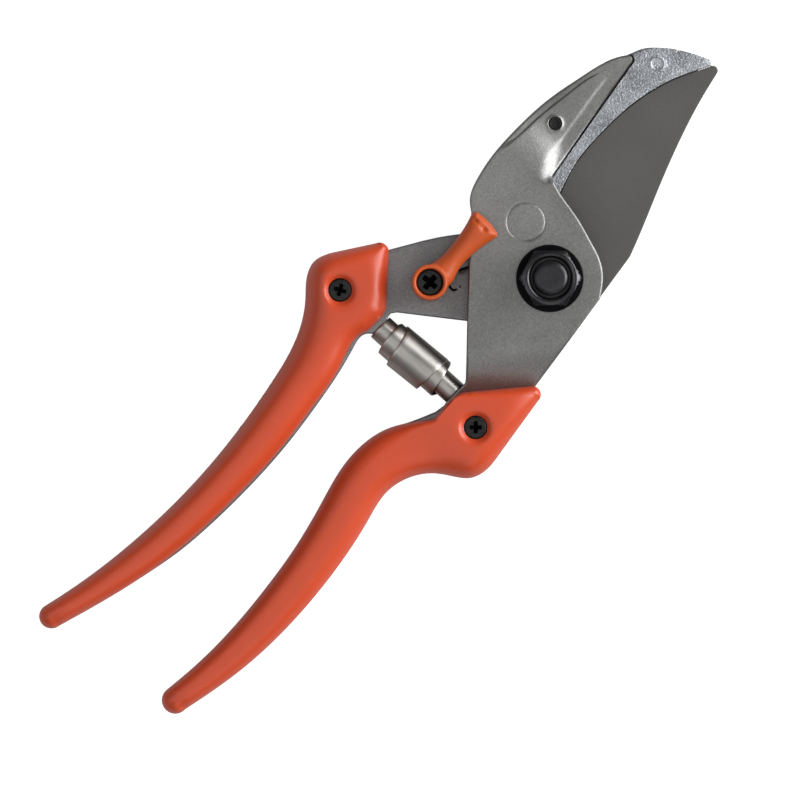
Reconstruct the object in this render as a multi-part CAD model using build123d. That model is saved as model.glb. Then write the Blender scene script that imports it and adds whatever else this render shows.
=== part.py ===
from build123d import *
import math
import os

# Anvil pruning shears, shut and latched, lying on their back. Millimetres.
# +X runs from the grips to the blade's tip, +Y towards the anvil, +Z out of the nut's side.
# The origin is on the pivot axis, on the back face of the pivot bolt's head.

# Layers along Z, from the back to the front
BOLT_HEAD_FRONT = 3.4
TANG_BACK = 5.0
TANG_FRONT = 11.0
BLADE_BACK = 8.4
BLADE_FRONT = 11.0
DISC_FRONT = 11.35
LAP_BACK = 11.4
LAP_FRONT = 16.0
WASHER_BACK = 16.05
WASHER_FRONT = 17.2
HEX_FRONT = 22.4
NUT_FRONT = 24.6
BOLT_END = 25.4
ANVIL_BACK = 7.1
ANVIL_FRONT = 12.3
PAD_FRONT = 14.5
RIM_FRONT = 13.7
COVER_FRONT = 17.2
TANG_MID = (TANG_BACK + TANG_FRONT) / 2

# Pivot
SHANK_R = 5.0
BUSH_R = 6.0
RUNNING_GAP = 0.05
BOLT_HEAD_R = 8.0
THREAD_R = 4.0
WASHER_R = 8.1
NUT_ACROSS_FLATS = 13.0
NUT_COLLAR_R = 5.8
LOCK_RING_R = 5.0
LOBE_R = 12.1
ROOT_R = 10.6
KEY = (3.0, 2.0, 1.2)
BOLT_HEAD_ROUND = 0.8
BOLT_CHAMFER = 0.6
NUT_TURN = 15
NUT_CHAMFER_RUN = 2.5
NUT_CHAMFER_DEPTH = 2.6
COLLAR_ROUND = 0.5
LOCK_RING_DEPTH = 0.4
EDGE_ROUND = 0.5

# Fasteners of the blade and the anvil
BLADE_SCREW_AT = (-10.8, 6.25)
BLADE_SCREW_R = 2.0
BLADE_SCREW_HEAD_R = 3.8
BLADE_TAB_R = 4.6
DOWEL_AT = (-3.1, -7.2)
DOWEL_R = 1.5
PIN_AT = (27.4, 25.5)
PIN_R = 1.5
BOSS_AT = (55.1, 18.2)
BOSS_R = 1.6
BOSS_HEIGHT = 0.3
GRIND_WIDTH = 1.1
GRIND_DEPTH = 0.55
SOCKET_R = 1.24
SOCKET_DEPTH = 1.6

# Prong of the anvil arm: X where its pad and its seat for the anvil begin and end, and their limits in Y
PAD_START = 15.2
PAD_FOLD_END = 19.8
PRONG_END = 56.0
SEAT_START = 14.2
SEAT_END = 45.8
SEAT_LOW = 20.0
SEAT_HIGH = 40.0
CROWN_SIDE = 34.0
FOOT_SIDE = 15.5

# Closing latch
LATCH_AT = (-21.1, 19.7)
LATCH_BOTTOM = 16.3
LATCH_TOP = 20.0
LATCH_RING_R = 4.3
LATCH_RING_TOP = 20.6
LATCH_BUSH_R = 2.6
LATCH_SCREW_R = 2.0
LATCH_HEAD_R = 3.1
LATCH_HEAD_SEAT = 18.6
LATCH_HEAD_DROP = 0.5
LATCH_HEAD_ROUND = 0.4
LATCH_HEAD_ROOM = 0.15
LATCH_CLEARANCE = 0.1
LATCH_PLAY = 0.25
WAVE_WASHER_TOP = 11.35
WAVE_WASHER_R = 4.0
THUMB_RIDGE_AT = (-1.75, 20.1)
THUMB_RIDGE_R = 0.7
THUMB_RIDGE_LENGTH = 6.6
THUMB_RIDGE_RISE = 0.2

# Two short cast marks in the blade arm beside the latch
MARK_R = 0.3
MARK_DEPTH = 1.3
MARKS = [((-14.0, 17.0), (-11.6, 15.7)), ((-18.0, 16.0), (-17.9, 14.3))]

# Grip screws
LEFT_SCREW_AT = (-37.6, 33.7)
RIGHT_SCREW_AT = (-37.9, -12.7)
GRIP_SCREW_R = 1.5
GRIP_HEAD_R = 2.85
GRIP_HEAD_TOP = 16.2
GRIP_HEAD_DEPTH = 1.5
GRIP_SCREW_END = 5.8
GRIP_ROUND = 5.6
DISH_FLARE = 1.0
RECESS_ARM_SHARE = 0.24
GRIP_RECESS = (3.2, 1.3)
LATCH_RECESS = (3.6, 1.2)

# Stations across each grip cover, from tail to nose: (X, thickness)
LEFT_STATIONS = [
    (-145.4, 7.5), (-144.4, 9.6), (-142, 11.2), (-136, 12.4), (-126, 13.4), (-115, 14.4),
    (-104, 15.2), (-93, 15.9), (-82, 16.5), (-71, 17.0), (-62, 17.2), (-55, 17.2),
    (-50, 17.2), (-46, 17.2), (-43, 17.2), (-40, 17.2), (-37, 17.2), (-34.5, 17.2),
    (-32, 17.2), (-28, 16.8), (-24.5, 15.0), (-22.7, 12.5),
]
RIGHT_STATIONS = [
    (-138.9, 7.5), (-137.9, 9.6), (-135.5, 11.2), (-129, 12.4), (-119, 13.4), (-109, 14.4),
    (-99, 15.2), (-90, 15.9), (-81, 16.5), (-73, 17.0), (-67, 17.2), (-61.5, 17.2),
    (-57, 17.2), (-53.5, 17.2), (-51, 17.2), (-49, 17.2), (-46.5, 17.2), (-43.6, 17.2),
    (-40, 17.2), (-36, 17.2), (-33, 17.2), (-28, 16.6), (-23.5, 14.8), (-21.2, 12.0),
]

# Open inner edge of the right cover: the tang's outline moved sideways, over a stretch of X
OPEN_EDGE_SHIFT = 2.5
OPEN_EDGE_START = -125.0
OPEN_EDGE_END = -45.0
GRIP_REACH = 60.0
CORNER_SHARE = 0.45

# Spring and its two pegs
PEG_R = 1.7
PEG_LENGTH = 2.6
PEG_ROOT = 0.5
LEFT_PEG_AT = (-37.0, 20.7)
RIGHT_PEG_AT = (-35.8, -3.4)
SPRING_BORE_R = 1.95
SPRING_END_GAP = 0.35
SPRING_STEPS = [(3.2, 3.2), (3.6, 4.7), (9.6, 5.3), (3.6, 4.0), (2.9, 2.9)]

# The fall of the anvil arm from its lap to its tang, and the rise of the blade arm's back
FALL_ALONG = (-0.6, -0.8)
RISE_ALONG = (-0.69, 0.72)
FAR = 170.0


def between(face, low, high):
    """Extrude a flat face from height low to height high."""
    return extrude(Pos(0, 0, low) * face, high - low)


def rod(at, radius, low, high):
    """Upright round bar."""
    return Pos(at[0], at[1], (low + high) / 2) * Cylinder(radius, high - low)


def cone(at, low_radius, high_radius, low, high):
    """Upright truncated cone."""
    return Pos(at[0], at[1], (low + high) / 2) * Cone(low_radius, high_radius, high - low)


def side_profile(along, points, radii):
    """Prism of a side view: points are (distance along a level direction, height)."""
    plane = Plane(origin=(0, 0, 0), x_dir=(along[0], along[1], 0), z_dir=(along[1], -along[0], 0))
    face = make_face(FilletPolyline(*points, radius=radii, close=True))
    return extrude(plane * face, FAR, both=True)


def cross_recess(at, top, width, depth):
    """Cross recess, cut from the top of a screw head."""
    slot = Pos(at[0], at[1], top - depth / 2) * Box(width, width * RECESS_ARM_SHARE, depth)
    other = Pos(at[0], at[1], top - depth / 2) * Box(width * RECESS_ARM_SHARE, width, depth)
    return slot + other


def anvil_arm_outline():
    crown = Spline((-1.9, 24.7), (0, 27.1), (5, 29.4), (10, 30.5), (20, 31.2), (30, 30.8), (40, 29.0),
                   (50, 25.8), (52.0, 24.4))
    tip = ThreePointArc((52.0, 24.4), (51.9, 23.3), (50.6, 22.7))
    prong = Line((50.6, 22.7), (18.6, 17.1))
    corner = ThreePointArc((18.6, 17.1), (17.0, 16.3), (16.5, 14.6))
    front = Spline((16.5, 14.6), (15.8, 10), (15.0, 5.2), (13.6, 0.2), (11.9, -5.1), (9.4, -8.8),
                   (5.2, -12.0))
    foot = Polyline((5.2, -12.0), (-20, -15.9), (-30, -17.4), (-44, -19.2))
    outer = Spline((-44, -19.2), (-47.2, -16.4), (-50.5, -10.6), (-55, -7.2), (-61, -5.7), (-68, -6.1),
                   (-76, -8.2), (-90, -10.7), (-105, -11.7), (-118, -10.9))
    end = ThreePointArc((-118, -10.9), (-119.6, -9.3), (-118.2, -7.8))
    inner = Spline((-118.2, -7.8), (-107, -6.3), (-90, -3.8), (-76, 1.0), (-68, 2.7), (-60, 3.0),
                   (-53.3, 1.9), (-48.8, -0.3), (-42, -3.3))
    seat = Polyline((-42, -3.3), (-39.4, -3.7), (-38.4, -3.4), (-33.2, -3.4), (-32.0, -3.4), (-31.2, -2.8),
                    (-21.1, 6.9), (-10.7, 16.7), (-1.9, 24.7))
    return make_face([crown, tip, prong, corner, front, foot, outer, end, inner, seat])


def anvil_outline():
    root = Polyline((20, 14.1), (13.8, 11.9), (13.8, 25.3), (17, 28.2))
    tongue = Spline((17, 28.2), (25, 29.1), (35, 28.0), (45.4, 25.7))
    step = Line((45.4, 25.7), (46.0, 27.0))
    crown = Spline((46.0, 27.0), (49.5, 25.8), (52.3, 24.6), (55, 23.5), (58, 20.9), (60.2, 18.3),
                   (62.2, 15.2), (63.8, 12.1), (64.6, 10.3))
    tip = ThreePointArc((64.6, 10.3), (64.5, 9.3), (63.5, 9.2))
    edge = Spline((63.5, 9.2), (60, 10.9), (55, 13.1), (50, 14.6), (45, 15.6), (38, 16.1), (30, 15.95),
                  (25, 15.4), (20, 14.1))
    return make_face([root, tongue, step, crown, tip, edge])


def blade_outline():
    edge = Spline((12.6, 10.9), (16.4, 12.4), (20, 13.85), (25, 15.15), (30, 15.7), (38, 15.85), (45, 15.3),
                  (50, 14.3), (55, 12.8), (60, 10.6), (63.7, 8.8))
    tip = ThreePointArc((63.7, 8.8), (64.7, 7.9), (63.6, 6.4))
    spine = Spline((63.6, 6.4), (57, 4.8), (50, 2.7), (35, -2.9), (20, -9.1), (17.6, -10.0))
    heel = Polyline((17.6, -10.0), (4.6, -12.0), (-2.7, -10.2), (-0.9, 10.5), (12.6, 10.9))
    body = make_face([edge, tip, spine, heel])
    pivot_end = Circle(ROOT_R)
    tab = Pos(*BLADE_SCREW_AT) * Circle(BLADE_TAB_R)
    root = make_hull(pivot_end.edges() + tab.edges())
    return body + root


def blade_arm_outline():
    back = Polyline((8.5, 8.6), (-7.5, 22.9), (-10, 24.8), (-12, 26.2), (-15, 28.1), (-22.4, 32.4),
                    (-30, 36.9))
    shoulder = Spline((-30, 36.9), (-34, 38.9), (-37.5, 39.6), (-41, 37.6), (-45, 34.4), (-50, 31.6),
                      (-64, 27.4), (-78, 24.7), (-93, 23.2), (-107, 22.9), (-119, 23.4))
    end = ThreePointArc((-119, 23.4), (-121.6, 21.4), (-120.4, 18.6))
    inner = Spline((-120.4, 18.6), (-110, 16.7), (-100, 15.9), (-90, 15.7), (-80, 16.0), (-70, 16.9),
                   (-60, 18.4), (-50, 20.4), (-44, 22.1))
    bridge = Spline((-44, 22.1), (-42, 22.4), (-40.4, 21.8), (-39.4, 20.7))
    seat = Polyline((-39.4, 20.7), (-34.6, 20.7), (-33.8, 21.1), (-32.8, 21.2), (-31.6, 20.3), (-21.1, 6.9),
                    (-11.5, -4.0), (8.5, 8.6))
    return make_face([back, shoulder, end, inner, bridge, seat]) + Circle(LOBE_R)


def left_cover_outline():
    crown = Spline((-142.4, 30.4), (-135, 28.8), (-115, 26.2), (-95, 25.9), (-78, 27.5),
                   (-65, 29.8), (-52, 33.7), (-45, 38.3), (-41, 41.8), (-37, 43.2), (-33, 41.9))
    brow = Line((-33, 41.9), (-23.0, 35.4))
    nose = ThreePointArc((-23.0, 35.4), (-22.1, 33.8), (-22.6, 32.1))
    cheek = Line((-22.6, 32.1), (-32.6, 22.9))
    chin = ThreePointArc((-32.6, 22.9), (-34.2, 22.2), (-36.0, 22.0))
    bridge = Line((-36.0, 22.0), (-39.8, 22.1))
    belly = Spline((-39.8, 22.1), (-42.8, 22.8), (-50, 20.9), (-60, 18.8), (-75, 16.8), (-92, 16.2),
                   (-110, 17.0), (-125, 19.6), (-143.0, 24.45))
    end = ThreePointArc((-143.0, 24.45), (-145.6, 27.7), (-142.4, 30.4))
    return make_face([crown, brow, nose, cheek, chin, bridge, belly, end])


def right_cover_outline():
    crown = Spline((-135.8, -4.8), (-128, -5.5), (-115, -5.6), (-100, -4.2), (-90, -2.6), (-76, 1.0),
                   (-68, 3.1), (-60, 3.6), (-53.5, 2.2), (-48, -0.9), (-43.6, -4.1))
    bridge = Line((-43.6, -4.1), (-36.6, -3.7))
    chin = ThreePointArc((-36.6, -3.7), (-34.8, -4.2), (-33.2, -5.3))
    cheek = Line((-33.2, -5.3), (-20.9, -15.6))
    nose = ThreePointArc((-20.9, -15.6), (-20.6, -17.3), (-22.3, -18.9))
    jaw = Line((-22.3, -18.9), (-38, -21.4))
    belly = Spline((-38, -21.4), (-43.5, -21.9), (-47.4, -20.6), (-50.2, -17.2), (-53, -13.4), (-57.5, -10.2),
                   (-64, -8.7), (-72, -10.3), (-88, -13.5), (-104, -14.8), (-121, -14.0), (-135.6, -11.4))
    end = ThreePointArc((-135.6, -11.4), (-139.1, -8.1), (-135.8, -4.8))
    return make_face([crown, bridge, chin, cheek, nose, jaw, belly, end])


def latch_outline():
    upper = Spline((-18.6, 23.1), (-16.4, 22.4), (-13, 22.2), (-9.8, 22.5), (-5.3, 23.3), (-2.4, 24.2))
    top_corner = ThreePointArc((-2.4, 24.2), (-1.3, 23.9), (-0.95, 22.7))
    tip = ThreePointArc((-0.95, 22.7), (-0.75, 20.0), (-1.1, 17.2))
    low_corner = ThreePointArc((-1.1, 17.2), (-1.6, 16.2), (-2.6, 16.1))
    lower = Spline((-2.6, 16.1), (-6.4, 16.9), (-10, 17.2), (-14.2, 16.9), (-17.4, 15.9), (-18.9, 15.4))
    inside = Polyline((-18.9, 15.4), (-21.1, 19.7), (-18.6, 23.1))
    paddle = make_face([upper, top_corner, tip, low_corner, lower, inside])
    return paddle + Pos(*LATCH_AT) * Circle(LATCH_RING_R)


def anvil():
    bar = between(anvil_outline(), ANVIL_BACK, ANVIL_FRONT)
    boss = rod(BOSS_AT, BOSS_R, ANVIL_BACK, ANVIL_FRONT + BOSS_HEIGHT)
    return bar + boss - rod(PIN_AT, PIN_R, ANVIL_BACK, ANVIL_FRONT)


def above_prong():
    """What is cut away above the prong: it lies lower than the lap, past a sloping fold, and has a lower rim
    along its crown."""
    side = Plane.XZ * Polygon((PAD_START, LAP_FRONT), (PAD_FOLD_END, PAD_FRONT), (PRONG_END, PAD_FRONT),
                              (PRONG_END, LAP_FRONT + 1), (PAD_START, LAP_FRONT + 1), align=None)
    pad_top = Pos(0, CROWN_SIDE, 0) * extrude(side, CROWN_SIDE - FOOT_SIDE)
    pad_crown = Spline((17, 29.5), (20, 29.2), (25, 29.05), (30, 28.6), (35, 28.05), (40, 27.3), (43.5, 26.6))
    outside = Polyline((43.5, 26.6), (43.5, CROWN_SIDE), (17, CROWN_SIDE), (17, 29.5))
    rim_top = between(make_face([pad_crown, outside]), RIM_FRONT, LAP_FRONT + 1)
    return pad_top + rim_top


def anvil_arm():
    outline = anvil_arm_outline()
    fall = side_profile(FALL_ALONG,
                        [(-FAR, LAP_FRONT), (15.5, LAP_FRONT), (26.0, TANG_FRONT), (FAR, TANG_FRONT),
                         (FAR, TANG_BACK), (26.5, TANG_BACK), (17.0, LAP_BACK), (-FAR, LAP_BACK)],
                        [1, 9, 9, 1, 1, 6, 6, 1])
    plate = between(outline, TANG_BACK, LAP_FRONT) & fall
    lap_edges = plate.faces().filter_by(Plane.XY).sort_by(Axis.Z)[-1].edges()
    plate = fillet(lap_edges.filter_by(lambda edge: edge.center().X > -5), EDGE_ROUND)
    seat_size = (SEAT_END - SEAT_START, SEAT_HIGH - SEAT_LOW, LAP_FRONT - ANVIL_BACK)
    seat_middle = ((SEAT_START + SEAT_END) / 2, (SEAT_LOW + SEAT_HIGH) / 2, (ANVIL_BACK + LAP_FRONT) / 2)
    ledge = between(outline, ANVIL_BACK, LAP_BACK + 1) & Pos(*seat_middle) * Box(*seat_size)
    peg_axis = Plane(origin=(RIGHT_PEG_AT[0], RIGHT_PEG_AT[1], TANG_MID), z_dir=(0, 1, 0))
    peg = peg_axis * Pos(0, 0, PEG_LENGTH / 2 - PEG_ROOT) * Cylinder(PEG_R, PEG_LENGTH + 2 * PEG_ROOT)
    arm = plate + ledge + peg - above_prong()
    arm -= between(anvil_outline(), ANVIL_BACK, ANVIL_FRONT)
    arm -= rod(PIN_AT, PIN_R, ANVIL_FRONT, LAP_FRONT)
    arm -= rod((0, 0), BUSH_R, LAP_BACK, LAP_FRONT)
    arm -= rod(RIGHT_SCREW_AT, GRIP_SCREW_R, GRIP_SCREW_END, LAP_FRONT)
    return arm


def blade():
    outline = blade_outline()
    plate = between(outline, BLADE_BACK, BLADE_FRONT)
    ground = plate.edges().filter_by(GeomType.BSPLINE).filter_by(lambda edge: edge.center().Y > 9)
    plate = chamfer(ground, GRIND_WIDTH, GRIND_DEPTH)
    for at, radius in (((0, 0), SHANK_R), (BLADE_SCREW_AT, BLADE_SCREW_R), (DOWEL_AT, DOWEL_R)):
        plate -= rod(at, radius, BLADE_BACK, BLADE_FRONT)
    return plate


def cast_mark(start, end):
    """Short groove with round ends in the blade arm's face."""
    ends = (Pos(*start) * Circle(MARK_R)).edges() + (Pos(*end) * Circle(MARK_R)).edges()
    return between(make_hull(ends), TANG_FRONT - MARK_DEPTH, TANG_FRONT)


def blade_arm():
    rise = side_profile(RISE_ALONG,
                        [(-FAR, TANG_FRONT), (FAR, TANG_FRONT), (FAR, TANG_BACK), (37, TANG_BACK),
                         (31, BOLT_HEAD_FRONT), (-FAR, BOLT_HEAD_FRONT)],
                        [1, 1, 1, 6, 6, 1])
    plate = between(blade_arm_outline(), BOLT_HEAD_FRONT, TANG_FRONT) & rise
    peg_axis = Plane(origin=(LEFT_PEG_AT[0], LEFT_PEG_AT[1], TANG_MID), z_dir=(0, -1, 0))
    peg = peg_axis * Pos(0, 0, PEG_LENGTH / 2 - PEG_ROOT) * Cylinder(PEG_R, PEG_LENGTH + 2 * PEG_ROOT)
    arm = plate + peg
    for start, end in MARKS:
        arm -= cast_mark(start, end)
    arm -= between(blade_outline(), BLADE_BACK, BLADE_FRONT)
    arm -= rod((0, 0), SHANK_R, BOLT_HEAD_FRONT, BLADE_BACK)
    arm -= pivot_key()
    arm -= blade_screw()
    arm -= rod(DOWEL_AT, DOWEL_R, TANG_BACK, BLADE_BACK)
    arm -= rod(LATCH_AT, LATCH_SCREW_R, TANG_BACK, TANG_FRONT)
    arm -= rod(LEFT_SCREW_AT, GRIP_SCREW_R, GRIP_SCREW_END, TANG_FRONT)
    return arm


def blade_screw():
    """Countersunk screw from the back. It threads into the blade's root."""
    head_depth = BLADE_SCREW_HEAD_R - BLADE_SCREW_R
    head_end = BOLT_HEAD_FRONT + head_depth
    head = cone(BLADE_SCREW_AT, BLADE_SCREW_HEAD_R, BLADE_SCREW_R, BOLT_HEAD_FRONT, head_end)
    return head + rod(BLADE_SCREW_AT, BLADE_SCREW_R, head_end, BLADE_FRONT)


def socket_screw(screw):
    """The blade screw with its hexagon socket."""
    socket = RegularPolygon(SOCKET_R, 6)
    return screw - between(Pos(*BLADE_SCREW_AT) * socket, BOLT_HEAD_FRONT, BOLT_HEAD_FRONT + SOCKET_DEPTH)


def pivot_key():
    """Key under the bolt's head. It keeps the bolt from turning in the blade arm."""
    return Pos(SHANK_R + KEY[0] / 2 - 1, 0, BOLT_HEAD_FRONT + KEY[2] / 2) * Box(*KEY)


def pivot_bolt():
    head = fillet(rod((0, 0), BOLT_HEAD_R, 0, BOLT_HEAD_FRONT).edges().group_by(Axis.Z)[0], BOLT_HEAD_ROUND)
    thread = chamfer(rod((0, 0), THREAD_R, WASHER_BACK, BOLT_END).edges().group_by(Axis.Z)[-1], BOLT_CHAMFER)
    return head + rod((0, 0), SHANK_R, BOLT_HEAD_FRONT, WASHER_BACK) + pivot_key() + thread


def ring(at, inner_radius, outer_radius, low, high):
    return rod(at, outer_radius, low, high) - rod(at, inner_radius, low, high)


def pivot_nut():
    """Hexagon lock nut with a round collar. Its corners are chamfered at about 30 degrees."""
    corner_r = NUT_ACROSS_FLATS / math.sqrt(3)
    chamfer_start = HEX_FRONT - NUT_CHAMFER_DEPTH
    hexagon = between(Rot(0, 0, NUT_TURN) * RegularPolygon(corner_r, 6), WASHER_FRONT, HEX_FRONT)
    dome = cone((0, 0), corner_r + NUT_CHAMFER_RUN, NUT_COLLAR_R, chamfer_start, HEX_FRONT)
    hexagon = hexagon & (rod((0, 0), corner_r + 1, WASHER_FRONT, chamfer_start) + dome)
    collar = rod((0, 0), NUT_COLLAR_R, HEX_FRONT - 1, NUT_FRONT)
    collar = fillet(collar.edges().group_by(Axis.Z)[-1], COLLAR_ROUND)
    nut = hexagon + collar - rod((0, 0), THREAD_R, WASHER_FRONT, NUT_FRONT)
    return nut - rod((0, 0), LOCK_RING_R, HEX_FRONT, NUT_FRONT - LOCK_RING_DEPTH)


def grip_screw(at):
    shank_top = GRIP_HEAD_TOP - GRIP_HEAD_DEPTH
    head = cone(at, GRIP_SCREW_R, GRIP_HEAD_R, shank_top, GRIP_HEAD_TOP)
    screw = head + rod(at, GRIP_SCREW_R, GRIP_SCREW_END, shank_top)
    return screw - cross_recess(at, GRIP_HEAD_TOP, *GRIP_RECESS)


def grip_section(outline, x, thickness):
    """Rounded section of a grip at one station, as wide as the outline is there."""
    span = (Line((x, -GRIP_REACH), (x, GRIP_REACH)) & outline).bounding_box()
    width = span.max.Y - span.min.Y
    corner = min(CORNER_SHARE * width, CORNER_SHARE * thickness, GRIP_ROUND)
    across = Plane(origin=(x, span.center().Y, COVER_FRONT / 2), x_dir=(0, 1, 0), z_dir=(1, 0, 0))
    return across * RectangleRounded(width, thickness, corner)


def grip_cover(outline, stations, arm, channel, screw_at):
    """Plastic sleeve round a tang, open along its inner edge."""
    block = loft([grip_section(outline, x, thickness) for x, thickness in stations], ruled=True)
    shank_top = GRIP_HEAD_TOP - GRIP_HEAD_DEPTH
    block -= rod(screw_at, GRIP_SCREW_R, TANG_BACK, COVER_FRONT)
    block -= cone(screw_at, GRIP_SCREW_R, GRIP_HEAD_R, shank_top, GRIP_HEAD_TOP)
    block -= cone(screw_at, GRIP_HEAD_R, GRIP_HEAD_R + DISH_FLARE, GRIP_HEAD_TOP, COVER_FRONT)
    return block - arm - channel


def latch_lever():
    paddle = between(latch_outline(), LATCH_BOTTOM, LATCH_TOP)
    hub = rod(LATCH_AT, LATCH_RING_R, WAVE_WASHER_TOP + LATCH_CLEARANCE, LATCH_RING_TOP)
    lever = paddle + hub
    lever -= rod(LATCH_AT, LATCH_BUSH_R + RUNNING_GAP, WAVE_WASHER_TOP, LATCH_RING_TOP)
    lever -= rod(LATCH_AT, LATCH_HEAD_R + LATCH_HEAD_ROOM, LATCH_HEAD_SEAT - LATCH_PLAY, LATCH_RING_TOP)
    ridge = Rot(90, 0, 0) * Cylinder(THUMB_RIDGE_R, THUMB_RIDGE_LENGTH)
    return lever + Pos(*THUMB_RIDGE_AT, LATCH_TOP + THUMB_RIDGE_RISE) * ridge


def latch_screw():
    head_top = LATCH_RING_TOP - LATCH_HEAD_DROP
    head = rod(LATCH_AT, LATCH_HEAD_R, LATCH_HEAD_SEAT, head_top)
    head = fillet(head.edges().group_by(Axis.Z)[-1], LATCH_HEAD_ROUND)
    screw = head + rod(LATCH_AT, LATCH_SCREW_R, TANG_BACK, LATCH_HEAD_SEAT)
    return screw - cross_recess(LATCH_AT, head_top, *LATCH_RECESS)


def volute_spring():
    """Strip spring wound from both ends, as a stepped sleeve along the line between the pegs."""
    start = Vector(LEFT_PEG_AT[0], LEFT_PEG_AT[1] - SPRING_END_GAP, TANG_MID)
    finish = Vector(RIGHT_PEG_AT[0], RIGHT_PEG_AT[1] + SPRING_END_GAP, TANG_MID)
    axis = Plane(origin=start, z_dir=finish - start)
    stretch = (finish - start).length / sum(step[0] for step in SPRING_STEPS)
    sleeve = Part()
    reached = 0.0
    for length, radius in SPRING_STEPS:
        run = length * stretch
        sleeve += axis * Pos(0, 0, reached + run / 2) * Cylinder(radius, run)
        reached += run
    return sleeve - axis * Pos(0, 0, reached / 2) * Cylinder(SPRING_BORE_R, reached)


def build():
    parts = {}
    parts["anvil"] = anvil()
    parts["anvil_arm"] = anvil_arm()
    parts["anvil_pin"] = rod(PIN_AT, PIN_R, ANVIL_BACK, PAD_FRONT)
    parts["pivot_bush"] = ring((0, 0), SHANK_R + RUNNING_GAP, BUSH_R, LAP_BACK, LAP_FRONT)
    parts["blade"] = blade()
    parts["blade_arm"] = blade_arm()
    parts["blade_screw"] = socket_screw(blade_screw())
    parts["blade_dowel"] = rod(DOWEL_AT, DOWEL_R, TANG_BACK, BLADE_FRONT)
    parts["pivot_bolt"] = pivot_bolt()
    parts["sliding_disc"] = ring((0, 0), SHANK_R, ROOT_R, BLADE_FRONT, DISC_FRONT)
    parts["pivot_washer"] = ring((0, 0), THREAD_R, WASHER_R, WASHER_BACK, WASHER_FRONT)
    parts["pivot_nut"] = pivot_nut()
    parts["nut_lock_ring"] = ring((0, 0), THREAD_R, LOCK_RING_R, HEX_FRONT, NUT_FRONT - LOCK_RING_DEPTH)
    left_arm = parts["blade_arm"]
    right_arm = parts["anvil_arm"]
    open_stretch = Box(OPEN_EDGE_END - OPEN_EDGE_START, 2 * GRIP_REACH, 2 * (TANG_FRONT - TANG_BACK))
    open_edge = Pos(0, OPEN_EDGE_SHIFT, 0) * between(anvil_arm_outline(), TANG_BACK, TANG_FRONT)
    open_edge = open_edge & Pos((OPEN_EDGE_START + OPEN_EDGE_END) / 2, 0, TANG_MID) * open_stretch
    parts["left_grip_cover"] = grip_cover(left_cover_outline(), LEFT_STATIONS, left_arm, left_arm,
                                          LEFT_SCREW_AT)
    parts["right_grip_cover"] = grip_cover(right_cover_outline(), RIGHT_STATIONS, right_arm, open_edge,
                                           RIGHT_SCREW_AT)
    parts["left_grip_screw"] = grip_screw(LEFT_SCREW_AT)
    parts["right_grip_screw"] = grip_screw(RIGHT_SCREW_AT)
    parts["latch_lever"] = latch_lever()
    parts["latch_screw"] = latch_screw()
    parts["latch_bush"] = ring(LATCH_AT, LATCH_SCREW_R, LATCH_BUSH_R, TANG_FRONT, LATCH_HEAD_SEAT)
    parts["latch_spring_washer"] = ring(LATCH_AT, LATCH_BUSH_R, WAVE_WASHER_R, TANG_FRONT, WAVE_WASHER_TOP)
    parts["volute_spring"] = volute_spring()
    return parts


os.makedirs("parts", exist_ok=True)
for name, solid in build().items():
    export_step(solid, f"parts/{name}.step")
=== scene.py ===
import math

import bmesh
import bpy
import numpy as np
from mathutils import Matrix, Vector
from mathutils.geometry import delaunay_2d_cdt


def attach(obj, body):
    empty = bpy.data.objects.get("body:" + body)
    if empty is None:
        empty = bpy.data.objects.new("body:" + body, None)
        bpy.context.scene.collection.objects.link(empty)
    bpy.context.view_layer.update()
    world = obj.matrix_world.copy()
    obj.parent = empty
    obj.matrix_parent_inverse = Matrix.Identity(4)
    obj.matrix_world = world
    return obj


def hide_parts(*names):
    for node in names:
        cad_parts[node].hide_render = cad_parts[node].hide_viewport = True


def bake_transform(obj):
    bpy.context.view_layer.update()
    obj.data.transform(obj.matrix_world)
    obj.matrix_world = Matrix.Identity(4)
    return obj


# Anvil pruning shears, shut and latched. Lengths are in millimetres until make_mesh() turns them into metres.
# +X runs from the grips to the blade's tip, +Y towards the anvil, +Z out of the nut's side.

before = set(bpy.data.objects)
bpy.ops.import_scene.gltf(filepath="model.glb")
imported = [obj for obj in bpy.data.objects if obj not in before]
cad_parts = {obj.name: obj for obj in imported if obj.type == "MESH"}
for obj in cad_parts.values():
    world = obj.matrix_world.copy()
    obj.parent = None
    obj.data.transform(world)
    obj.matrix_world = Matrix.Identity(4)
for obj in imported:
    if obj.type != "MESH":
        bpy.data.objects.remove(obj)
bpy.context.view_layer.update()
MM = 0.001

# Heights, from the back to the front
BACK_FACE = 3.4
TANG_BACK = 5.0
TANG_FRONT = 11.0
BLADE_BACK = 8.4
LAP_BACK = 11.4
LAP_FRONT = 16.0
ANVIL_BACK = 7.1
ANVIL_FRONT = 12.3
WASHER_BACK = 16.05
WASHER_FRONT = 17.2
HEX_FRONT = 22.4
NUT_FRONT = 24.6
BOLT_END = 25.4
GRIP_MIDDLE = 8.6

# How far the prong's pad lies below the lap, and the steps along the pad's crown and foot below the pad
PAD_DROP = 1.8
CROWN_DROP = 0.5
FOOT_DROP = 0.25

# Slopes of the prong, down towards its tip and down towards its foot
PRONG_LEAN = 0.055
PRONG_TILT = 0.055

# Places on the plan
PIN_AT = (27.4, 25.5)
BOSS_AT = (55.1, 18.2)
LATCH_AT = (-21.1, 19.7)
LEFT_SCREW_AT = (-37.6, 33.7)
RIGHT_SCREW_AT = (-37.9, -12.7)
BADGE_AT = (5.6, 13.7)
BADGE_RADIUS = 4.6

# Points measured at once, to keep the arrays small
BATCH = 1000


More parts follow.
